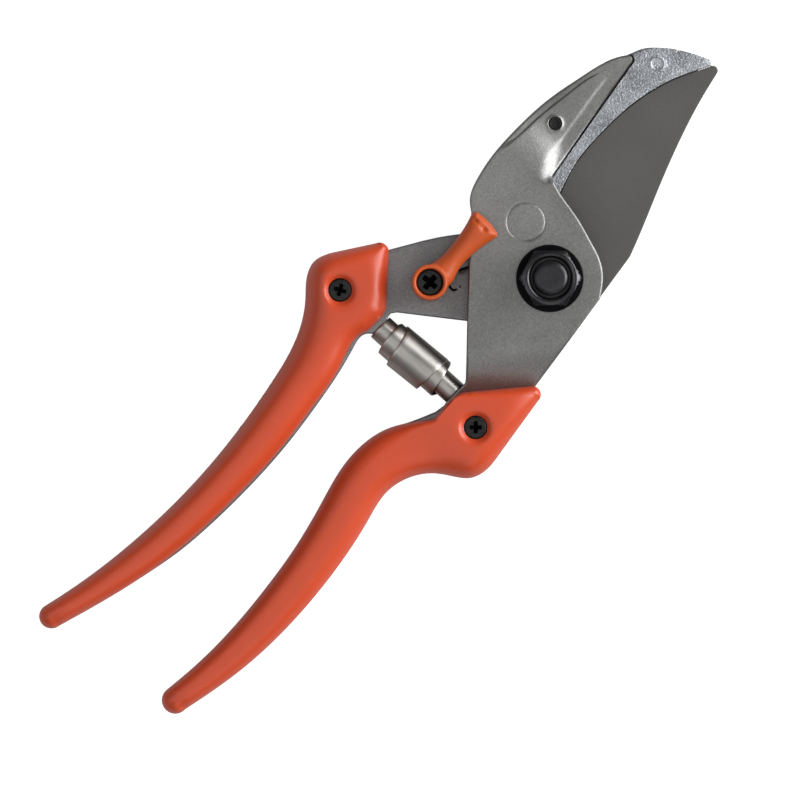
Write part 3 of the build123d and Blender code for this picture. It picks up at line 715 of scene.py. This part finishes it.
def anvil_shade_ledge():
    """Thin ledge of the anvil that the shut blade's edge rests above. It takes the near-black material,
    painted shade that shows as a dark line in the gap between the anvil and the blade.
    """
    face = anvil_loop[(anvil_loop[:, 1] < 16.3) & (anvil_loop[:, 0] > 20)]
    face = np.vstack([(16.5, 12.9), face[np.argsort(face[:, 0])][:-4]])
    area = Region(closed(face + (0, 0.4), face[::-1] - (0, 0.9)), edge=(0.2,), grid=1.5)
    level = np.full(len(area.xy), BLADE_BACK - 0.15)
    return slab("anvil_shade_ledge", area, level, level - 1.0)


finished(anvil(), CAST_ZINC, "anvil_side", "zinc_plate", "anvil")
# The ledge is near black: painted shade in the gap under the anvil's edge.
finished(anvil_shade_ledge(), PAINTED_SHADE, "anvil_side", "zinc_plate")
pin_profile = [(0, ANVIL_BACK), (1.45, ANVIL_BACK), (1.45, 13.9), (1.3, 14.15), (1.05, 14.1), (0.9, 13.9),
               (0, 13.85)]
finished(turned("anvil_pin_head", PIN_AT, pin_profile, 40), BLACK_SCREW, "anvil_side", "dark_steel",
         "anvil_pin")


# -------- blade
def blade():
    """Flat plate whose bevel is ground almost wholly from the back."""
    grind_width, front_grind, back_grind = 1.1, 0.05, 1.6
    area = Region(blade_loop, edge=(0.15, 0.35, 0.7, 1.2), grid=1.2)
    gap, _ = distance(area.xy, blade_edge, is_closed=False)
    grind = np.clip(1 - gap / grind_width, 0, 1)
    rounding = np.where(gap < area.room + 0.05, 0, edge_drop(area.room, 0.25))
    top = TANG_FRONT - front_grind * grind - rounding
    bottom = BLADE_BACK + back_grind * grind + rounding
    return slab("blade_plate", area, top, bottom, angle=12)


finished(blade(), COATED_BLADE, "blade_side", "blade_coating", "blade")


# -------- blade arm
def blade_arm():
    """Arm under the lap, with a recess for the root of the blade and two short cast marks beside the
    latch, whose grooves are painted with shade."""
    top_rounding, bottom_rounding, mark_depth = 0.4, 0.7, 1.3
    slot = straight((-14.0, 17.0), (-11.6, 15.7), step=0.2)
    hook = spline((-17.9, 16.4), (-18.35, 15.0), (-18.2, 14.4), (-17.7, 14.1), step=0.2)
    dot_at = (-16.5, 13.9)
    creases = [ring_line(blade_loop), ring_line(grown(blade_loop, 0.12))]
    creases += [shifted(line, offset) for line in (slot, hook) for offset in (-0.32, -0.14, 0.14, 0.32)]
    ends = [(line[i], 0.34) for line in (slot, hook) for i in (0, -1)] + [(dot_at, 0.12), (dot_at, 0.3)]
    creases += [ring_line(circle(at, radius, 16)) for at, radius in ends]
    top_area = Region(blade_arm_loop, edge=steps(top_rounding), grid=0.9, creases=creases)
    xy = top_area.xy
    slot_gap, _ = distance(xy, slot, is_closed=False)
    hook_gap, _ = distance(xy, hook, is_closed=False)
    to_mark = np.minimum(np.minimum(slot_gap - 0.08, hook_gap), from_point(xy, dot_at) + 0.08)
    top = TANG_FRONT - mark_depth * smooth((0.28 - to_mark) / 0.14)
    top = np.where(depth_in(xy, blade_loop) > -0.03, BLADE_BACK, top) - edge_drop(top_area.room,
                                                                                  top_rounding)
    bottom_area = Region(blade_arm_loop, edge=steps(bottom_rounding), grid=1.6)
    rise = -0.69 * bottom_area.xy[:, 0] + 0.72 * bottom_area.xy[:, 1]
    bottom = BACK_FACE + (TANG_BACK - BACK_FACE) * smooth((rise - 30) / 8)
    bottom += edge_drop(bottom_area.room, bottom_rounding)
    made = two_faced("blade_arm_body", top_area, top, bottom_area, bottom)
    # The faces in the grooves of the slot and hook marks take the near-black second material: painted shade.
    middles = np.array([face.center[:] for face in made.data.polygons]) / MM
    near_marks = [distance(middles[:, :2], line, is_closed=False)[0] < 0.24 for line in (slot, hook)]
    shaded_mark_faces = (near_marks[0] | near_marks[1]) & (middles[:, 2] > BLADE_BACK)
    for i in np.flatnonzero(shaded_mark_faces):
        made.data.polygons[int(i)].material_index = 1
    return made


# The blade arm takes the darker copy of the aluminium (painted shade); its side walls and mark grooves take
# the near-black painted shade.
finished(blade_arm(), SHADED_ALUMINIUM, "blade_side", "aluminium_satin", "blade_arm", side_look=PAINTED_SHADE)


# -------- grip covers
def table(x, rows):
    """Smooth reading of a short table of (X, value)."""
    curve = spline(*rows, step=0.25)
    return np.interp(x, curve[:, 0], curve[:, 1])


def grip_cover(name, loop, edges, stations, screw_at):
    """Moulded sleeve with a round tail and a flat head. edges holds (line, table of edge radii, table of the
    share of the half thickness that is rounded), and stations (X, thickness). Near edges meet in a smooth
    crest, and a dish with a soft lip surrounds the screw."""
    crest, squareness, edge_radius = 2.3, 2.05, 5.5
    hole_radius, dish_start, dish_end = 2.88, 2.9, 4.9
    dish_floor, dish_rise, round_lip = 16.05, 1.25, 0.12
    creases = circles(screw_at, (3.2, 3.6, 4.1, 4.6, dish_end), 56)
    ring_depths = tuple(edge_radius * (1 - math.cos(math.radians(a))) for a in (6, 12, 19, 27, 36, 46, 57))
    area = Region(loop, holes=[circle(screw_at, hole_radius, 56)], edge=ring_depths, grid=0.9,
                  creases=creases)
    xy, x = area.xy, area.xy[:, 0]
    nearness = [(distance(xy, line, is_closed=False)[0] / table(x, radii) + 1e-5) ** -crest
                for line, radii, _ in edges]
    share = np.clip(sum(nearness) ** (-1 / crest) * 2 ** (1 / crest), 0, 1)
    rounded = sum(near * table(x, part) for near, (_, _, part) in zip(nearness, edges)) / sum(nearness)
    lift = 1 - rounded + rounded * (1 - (1 - share) ** squareness) ** (1 / squareness)
    half = table(x, stations) / 2
    top, bottom = GRIP_MIDDLE + half * lift, GRIP_MIDDLE - half * lift
    away = from_point(xy, screw_at)
    bowl = np.clip((away - dish_start) / 2.0, 0, 1)
    cone = dish_floor + dish_rise * (1 - (1 - bowl) ** 1.8) + np.clip(away - dish_end, 0, 3)
    lower, upper = np.minimum(top, cone), np.abs(top - cone)
    top = np.where(away < 5.5, lower - round_lip * np.exp(-upper / round_lip), top)
    on_outline = np.abs(depth_in(xy, loop)) < 1e-6
    top = np.where(on_outline, GRIP_MIDDLE, np.maximum(top, GRIP_MIDDLE + 1e-3))
    bottom = np.where(on_outline, GRIP_MIDDLE, bottom)
    return slab(name, area, top, bottom, angle=60)


LEFT_STATIONS = [(-145.6, 9.0), (-142, 11.2), (-136, 12.4), (-126, 13.4), (-115, 14.4), (-104, 15.2),
                 (-93, 15.9), (-82, 16.5), (-71, 17.0), (-62, 17.2), (-38, 17.2), (-30, 16.6), (-22.0, 15.4)]
RIGHT_STATIONS = [(-139, 9.0), (-135.5, 11.2), (-129, 12.4), (-119, 13.4), (-109, 14.4), (-99, 15.2),
                  (-90, 15.9),
                  (-81, 16.5), (-73, 17.0), (-66, 17.2), (-60, 16.9), (-54, 16.1), (-49, 16.0), (-45, 16.7),
                  (-41, 17.2), (-37, 17.2), (-30, 16.5), (-20.5, 14.8)]
left_edges = [
    (np.vstack([left_crown, straight((-33, 41.9), (-23.0, 35.4))]),
     [(-146, 3.4), (-135, 4.2), (-110, 5.2), (-92, 5.6), (-75, 6.6), (-60, 7.8), (-48, 9.0), (-40, 8.0),
      (-33, 5.0), (-22, 4.6)],
     [(-146, 0.9), (-36, 0.9), (-22, 0.7)]),
    (arc((-23.0, 35.4), (-22.1, 33.8), (-22.6, 32.1)), [(-23, 6.0), (-22, 6.0)], [(-23, 0.4), (-22, 0.4)]),
    (straight((-22.6, 32.1), (-32.6, 22.9)),
     [(-33, 4.4), (-28, 5.2), (-22, 5.6)],
     [(-33, 0.85), (-28, 0.7), (-22, 0.55)]),
    (np.vstack([arc((-32.6, 22.9), (-34.2, 22.2), (-36.0, 22.0)), left_belly]),
     [(-146, 3.4), (-135, 3.8), (-110, 4.6), (-92, 5.2), (-75, 5.8), (-60, 6.4), (-48, 6.6), (-32, 5.2)],
     [(-146, 0.9), (-110, 0.75), (-32, 0.72)]),
    (arc((-143.0, 24.45), (-145.6, 27.7), (-142.4, 30.4)),
     [(-146, 3.4), (-142, 3.4)],
     [(-146, 0.9), (-142, 0.9)]),
]
right_edges = [
    (np.vstack([right_crown, straight((-43.6, -4.1), (-36.6, -3.7)),
                arc((-36.6, -3.7), (-34.8, -4.2), (-33.2, -5.3))]),
     [(-139, 3.3), (-128, 3.8), (-110, 4.6), (-92, 5.4), (-75, 6.3), (-60, 6.0), (-53, 4.2), (-47, 1.6),
      (-44, 1.0), (-33, 1.0)],
     [(-139, 0.9), (-33, 0.9)]),
    (straight((-33.2, -5.3), (-20.9, -15.6)), [(-33, 1.0), (-28, 2.6), (-21, 4.6)],
     [(-33, 0.5), (-21, 0.45)]),
    (arc((-20.9, -15.6), (-20.6, -17.3), (-22.3, -18.9)), [(-22, 5.4), (-20, 5.4)],
     [(-22, 0.4), (-20, 0.4)]),
    (np.vstack([straight((-22.3, -18.9), (-38, -21.4)), right_belly]),
     [(-139, 3.3), (-128, 3.7), (-110, 4.7), (-92, 5.4), (-75, 6.4), (-60, 7.0), (-50, 7.6), (-40, 7.2),
      (-22, 5.6)],
     [(-139, 0.9), (-110, 0.75), (-40, 0.75), (-22, 0.6)]),
    (arc((-135.6, -11.4), (-139.1, -8.1), (-135.8, -4.8)),
     [(-139, 3.3), (-135, 3.3)],
     [(-139, 0.9), (-135, 0.9)]),
]
finished(
    grip_cover("left_grip_sleeve", left_cover_loop, left_edges, LEFT_STATIONS, LEFT_SCREW_AT),
    ORANGE, "blade_side", "orange_grip", "left_grip_cover")
finished(
    grip_cover("right_grip_sleeve", right_cover_loop, right_edges, RIGHT_STATIONS, RIGHT_SCREW_AT),
    ORANGE, "anvil_side", "orange_grip", "right_grip_cover")


# -------- screws with cross recesses
def cross_head(name, at, radius, top, under, end, arm, width, crown, turn):
    """Screw with a cross recess and a shank that reaches down to end. arm is half the length of the cross,
    width the width of its arms, and crown the height of the head's dome."""
    area = Region(circle((0, 0), radius, 64), edge=(0.08, 0.2, 0.4), grid=0.16)
    c, s = math.cos(math.radians(turn)), math.sin(math.radians(turn))

    def across(x, y):
        return abs(x * c + y * s), abs(y * c - x * s)

    u, v = across(area.xy[:, 0], area.xy[:, 1])
    from_centre = np.hypot(u, v)
    far, near = np.maximum(u, v), np.minimum(u, v)
    slope = smooth((width / 2 + 0.12 - near) / 0.18) * smooth((arm - far) / 0.35)
    centre = smooth((width * 0.95 - from_centre) / 0.3)
    sunk = np.maximum(slope * (0.75 + 0.35 * (1 - far / arm)), centre * 1.1)
    dome = crown * (1 - (from_centre / radius) ** 2)
    height = top + dome - sunk - edge_drop(area.room, 0.35)
    head = slab(name, area, height, np.full(len(area.xy), under), angle=40)
    # Faces inside the cross take the second material, a deeper black: painted shade in the recess.
    for face in head.data.polygons:
        a, b = (gap / MM for gap in across(face.center.x, face.center.y))
        if face.normal.z > 0 and min(a, b) < width / 2 + 0.05 and max(a, b) < arm:
            face.material_index = 1
    head.data.transform(Matrix.Translation((at[0] * MM, at[1] * MM, 0)))
    shank = turned(name + "_shank", at, [(0, end), (radius * 0.5, end), (radius * 0.5, under), (0, under)],
                   32)
    return head, shank


GRIP_SCREW = {"radius": 2.72, "top": 16.0, "under": 14.8, "end": 6.0, "arm": 1.5, "width": 0.75,
              "crown": 0.12}
LATCH_SCREW = {"radius": 3.1, "top": 19.6, "under": 18.4, "end": 6.0, "arm": 2.0, "width": 1.1,
               "crown": 0.15}
for label, at, body, size, cross_turn in (
    ("left_grip_screw", LEFT_SCREW_AT, "blade_side", GRIP_SCREW, 28),
    ("right_grip_screw", RIGHT_SCREW_AT, "anvil_side", GRIP_SCREW, 45),
    ("latch_screw", LATCH_AT, "blade_side", LATCH_SCREW, 5),
):
    head, shank = cross_head(label + "_head", at, turn=cross_turn, **size)
    finished(head, BLACK_SCREW, body, "black_screw", label, side_look=RECESS_SHADE)
    finished(shank, BLACK_SCREW, body, "black_screw")


# -------- latch
def latch():
    """Paddle with a waist, a raised ring round its screw, and a thumb groove at its free end."""
    hole_radius, collar_radius, collar_top = 3.25, 4.3, 20.6
    paddle_back, lowest_front, squareness = 16.3, 16.4, 2.2
    roof_start, roof_rise, roof_reach = 16.9, 3.1, 2.9
    groove_at = -2.9
    ring = circles(LATCH_AT, (3.6, 3.9, 4.2, 4.5), 64)
    area = Region(latch_loop, holes=[circle(LATCH_AT, hole_radius, 64)],
                  edge=(0.06, 0.2, 0.45, 0.8, 1.3, 1.9), grid=0.5, creases=ring)
    x, y = area.xy[:, 0], area.xy[:, 1]
    share = np.clip(depth_in(area.xy, latch_loop) / roof_reach, 0, 1)
    roof = roof_start + roof_rise * (1 - (1 - share) ** squareness) ** (1 / squareness)
    from_screw = from_point(area.xy, LATCH_AT)
    rim = np.clip(np.minimum(from_screw - hole_radius, collar_radius - from_screw), 0, 1)
    collar = np.where(from_screw < collar_radius, collar_top - edge_drop(rim, 0.5), 0)
    groove = 0.4 * bump(x - groove_at, 0.42) * smooth((y - 18.2) / 1.2) * smooth((23.6 - y) / 1.2)
    dents = 0.5 * bump(x - groove_at, 0.5) * (bump(y - 19.4, 0.6) + bump(y - 22.2, 0.6))
    waist = 0.35 * bump(x + 11.5, 5.5)
    top = np.maximum(np.maximum(roof - groove - dents - waist, collar), lowest_front)
    return slab("latch_paddle", area, top, np.full(len(x), paddle_back), angle=50)


finished(latch(), LATCH_ORANGE, "latch", "orange_latch", "latch_lever")
hub_profile = [(2.65, 11.45), (4.1, 11.45), (4.3, 11.7), (4.3, 17.4), (2.65, 17.4)]
finished(turned("latch_hub", LATCH_AT, hub_profile, 64), LATCH_ORANGE, "latch", "orange_latch")


# -------- pivot
def hexagon(across_flats, turn, cone_top, cone_radius):
    """Radius of a hexagon at each angle, cut by a cone of 30 degrees at its top and another at its foot.
    Profile radii smaller than the hexagon stay round."""

    def shape(t, radius, height):
        if radius < across_flats / 2 - 0.05:
            return np.full(len(t), radius)
        local = (t - math.radians(turn)) % (math.pi / 3) - math.pi / 6
        flat = across_flats / 2 / np.cos(local)
        cone = cone_radius + max(0, cone_top - height) / math.tan(math.radians(30))
        foot = cone_radius + 0.7 + max(0, height - WASHER_FRONT) * 3
        return np.minimum(np.minimum(flat, cone), foot)

    return shape


nut_profile = [(4.0, WASHER_FRONT), (7.5, WASHER_FRONT), (7.5, WASHER_FRONT + 0.12),
               (7.5, WASHER_FRONT + 0.3),
               (7.5, 20.9), (7.5, 21.3), (7.5, 21.6), (7.5, 21.85), (7.5, 22.1), (7.5, 22.3),
               (7.5, HEX_FRONT),
               (5.8, HEX_FRONT + 0.05), (5.8, 24.15), (5.76, 24.45), (5.62, NUT_FRONT), (5.5, 24.57),
               (5.1, 24.3), (4.95, 24.1), (4.95, 22.8), (4.0, 22.8)]
nut = turned("pivot_nut_body", (0, 0), nut_profile, 144, hexagon(13.0, 15.0, HEX_FRONT, 6.3), 32)
finished(nut, BLACK_OXIDE, "blade_side", "black_oxide", "pivot_nut")
washer_profile = [(4.0, WASHER_BACK), (7.9, WASHER_BACK), (8.1, 16.25), (8.1, 16.95), (7.95, 17.15),
                  (7.75, WASHER_FRONT), (4.0, WASHER_FRONT)]
finished(turned("pivot_washer_ring", (0, 0), washer_profile, 96), BLACK_WASHER, "blade_side", "black_oxide",
         "pivot_washer")
ring_profile = [(4.0, 22.8), (4.95, 22.8), (4.95, 23.3), (4.8, 23.5), (4.3, 23.5), (4.0, 23.3)]
finished(turned("lock_ring", (0, 0), ring_profile, 72), NYLON, "blade_side", "lock_ring_nylon",
         "nut_lock_ring")
thread = []
for ring_height in 17.3 + 0.5 * np.arange(14):
    thread += [(3.98, ring_height), (3.72, ring_height + 0.25)]
bolt_profile = [(0, 0), (7.2, 0), (7.65, 0.12), (7.9, 0.38), (8.0, 0.8), (8.0, 3.2), (7.9, BACK_FACE),
                (5.0, BACK_FACE), (5.0, WASHER_BACK), (3.98, WASHER_BACK)] + thread
bolt_profile += [(3.98, 24.5), (3.92, 24.95), (3.45, 25.32), (3.3, BOLT_END), (2.2, 25.36), (0, 25.36)]
finished(turned("pivot_bolt_body", (0, 0), bolt_profile, 96), BOLT_STEEL, "blade_side", "black_oxide",
         "pivot_bolt")


# -------- spring
TOP_PEG = np.array([-37.0, 20.35])
LOW_PEG = np.array([-35.8, -3.05])


def volute():
    """Flat strip wound into a coil that is widest at its middle and telescopes towards both pegs.
    Turns are counted from the left side of the lower end; each turn passes the front, then the right."""
    turn = [0, 0.5, 1.0, 1.5, 2.0, 2.5, 3.0, 3.5, 4.0, 4.5, 5.0]
    radius = [2.8, 3.25, 4.1, 4.95, 5.55, 4.95, 4.85, 4.2, 3.25, 3.3, 3.2]
    low_turn = [0, 0.55, 0.8, 1.0, 1.25, 1.5, 1.75, 2.0, 2.25, 2.5, 3.0, 4.0, 5.0]
    low = [-3.4, -3.4, -1.2, 0.25, 1.1, 2.5, 3.4, 3.8, 3.6, 3.3, 6.5, 12.5, 15.0]
    high_turn = [0, 1.0, 1.5, 1.75, 2.0, 2.25, 2.5, 2.75, 3.0, 3.25, 3.5, 3.75, 4.0, 5.0]
    high = [2.5, 7.5, 11.2, 12.4, 13.1, 14.3, 16.2, 16.4, 16.6, 17.7, 17.5, 19.0, 20.7, 20.7]
    turns, per_turn, rows = 5, 60, 10
    thick, axis_height = 0.42, 8.0
    t = np.linspace(0, turns, turns * per_turn + 1)

    def soften(at_turns, values):
        """The table read along the strip, with its corners rounded off."""
        read = np.pad(np.interp(t, at_turns, values), 3, mode="edge")
        return np.convolve(read, np.ones(7) / 7, "valid")

    r, bottom, top = soften(turn, radius), soften(low_turn, low), soften(high_turn, high)
    shares = [0, 0.008, 0.025, 0.1, 0.25, 0.5, 0.75, 0.9, 0.975, 0.992, 1]
    relief = [0.14, 0.04, 0, 0, 0, 0, 0, 0, 0, 0.04, 0.14]
    points, faces = [], []
    for i, at in enumerate(t):
        around = math.pi - math.tau * at
        lean = 0.06 * float(bump(at - 2.1, 0.7))
        for layer in (0, thick):
            for k in range(rows + 1):
                y = bottom[i] + (top[i] - bottom[i]) * shares[k]
                reach = r[i] - layer - (relief[k] if layer == 0 else 0)
                share = (TOP_PEG[1] - y) / (TOP_PEG[1] - LOW_PEG[1])
                x = TOP_PEG[0] + (LOW_PEG[0] - TOP_PEG[0]) * share - lean * (y - 8.5)
                points.append((x + reach * math.cos(around), y, axis_height + reach * math.sin(around)))
    width = 2 * (rows + 1)
    for i in range(len(t) - 1):
        a, b = i * width, (i + 1) * width
        for k in range(rows):
            faces.append((a + k, a + k + 1, b + k + 1, b + k))
            j = rows + 1 + k
            faces.append((a + j, b + j, b + j + 1, a + j + 1))
        faces.append((a, b, b + rows + 1, a + rows + 1))
        faces.append((a + rows, a + width - 1, b + width - 1, b + rows))
    for a, order in ((0, 1), ((len(t) - 1) * width, -1)):
        for k in range(rows):
            faces.append((a + k, a + rows + 1 + k, a + rows + 2 + k, a + k + 1)[::order])
    return make_mesh("volute_spring_strip", points, faces, angle=50)


spring = volute()
spring.data.materials.append(SPRING_STEEL)
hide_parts("volute_spring")
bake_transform(spring)


# -------- CAD nodes that keep their shape
for node, look in (("pivot_bush", BRONZE), ("sliding_disc", BRONZE), ("blade_screw", BLACK_SCREW),
                   ("blade_dowel", DARK_STEEL), ("latch_bush", DARK_STEEL),
                   ("latch_spring_washer", SPRING_STEEL)):
    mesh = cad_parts[node].data
    mesh.materials.clear()
    mesh.materials.append(look)


# -------- studio
def studio_floor():
    """White floor that glows mostly for the camera, so that it lights the part only a little."""
    half, level = 1.5, -0.0002
    camera_glow, base_glow, grey = 0.79, 0.15, 0.4
    corners = [(-half, -half, level), (half, -half, level), (half, half, level), (-half, half, level)]
    mesh = bpy.data.meshes.new("studio_floor")
    mesh.from_pydata(corners, [], [(0, 1, 2, 3)])
    obj = placed("studio_floor", mesh)
    look = bpy.data.materials.new("studio_floor_white")
    look.use_nodes = True
    nodes, link = look.node_tree.nodes, look.node_tree.links.new
    shader = nodes["Principled BSDF"]
    set_inputs(shader, {"Base Color": (grey, grey, grey, 1), "Roughness": 0.9, "Specular IOR Level": 0.1,
                        "Emission Color": (1, 1, 1, 1)})
    path = nodes.new("ShaderNodeLightPath")
    glow = nodes.new("ShaderNodeMath")
    glow.operation = "MULTIPLY_ADD"
    set_inputs(glow, {1: camera_glow, 2: base_glow})
    link(path.outputs["Is Camera Ray"], glow.inputs[0])
    link(glow.outputs["Value"], shader.inputs["Emission Strength"])
    mesh.materials.append(look)


def soft_light(name, place, target, size, power):
    """Square lamp aimed at the target. size is in metres and power in watts."""
    data = bpy.data.lights.new(name, "AREA")
    data.shape = "SQUARE"
    data.size = size
    data.energy = power
    obj = placed(name, data)
    obj.location = place
    obj.rotation_euler = (Vector(target) - Vector(place)).to_track_quat("-Z", "Y").to_euler()


CENTRE = Vector((-0.0461, 0.0048, 0.011))
studio_floor()
for name, place, size, power in (
    ("key", (0.85, -0.38, 0.54), 0.95, 13),
    ("second_key", (0.65, -0.75, 0.5), 0.6, 4.5),
    ("overhead", (-0.3, -0.1, 1.65), 1.3, 3.6),
    ("front", (-0.55, -0.68, 0.85), 0.8, 1.4),
    ("left_fill", (-0.68, 0.5, 0.8), 0.9, 2.0),
):
    soft_light(name, place, CENTRE, size, power)
world = bpy.data.worlds.new("studio")
bpy.context.scene.world = world
world.use_nodes = True
world.node_tree.nodes["Background"].inputs["Color"].default_value = (1, 1, 1, 1)
world.node_tree.nodes["Background"].inputs["Strength"].default_value = 0.14
bpy.context.scene.view_settings.view_transform = "Standard"
bpy.context.scene.view_settings.look = "None"

# The camera looks straight down. The picture's up is halfway between +X and +Y.
SHOT_DISTANCE = 1.2
SHOT_WIDTH = 0.1931
SENSOR_WIDTH = 36
camera_data = bpy.data.cameras.new("camera")
camera_data.sensor_width = SENSOR_WIDTH
camera_data.lens = SENSOR_WIDTH * SHOT_DISTANCE / SHOT_WIDTH
camera_data.clip_end = 10
camera = placed("camera", camera_data)
bpy.context.scene.camera = camera
diagonal = math.sqrt(0.5)
camera_turn = Matrix(((diagonal, diagonal, 0), (-diagonal, diagonal, 0), (0, 0, 1))).to_4x4()
camera.matrix_world = Matrix.Translation(CENTRE + Vector((0, 0, SHOT_DISTANCE))) @ camera_turn
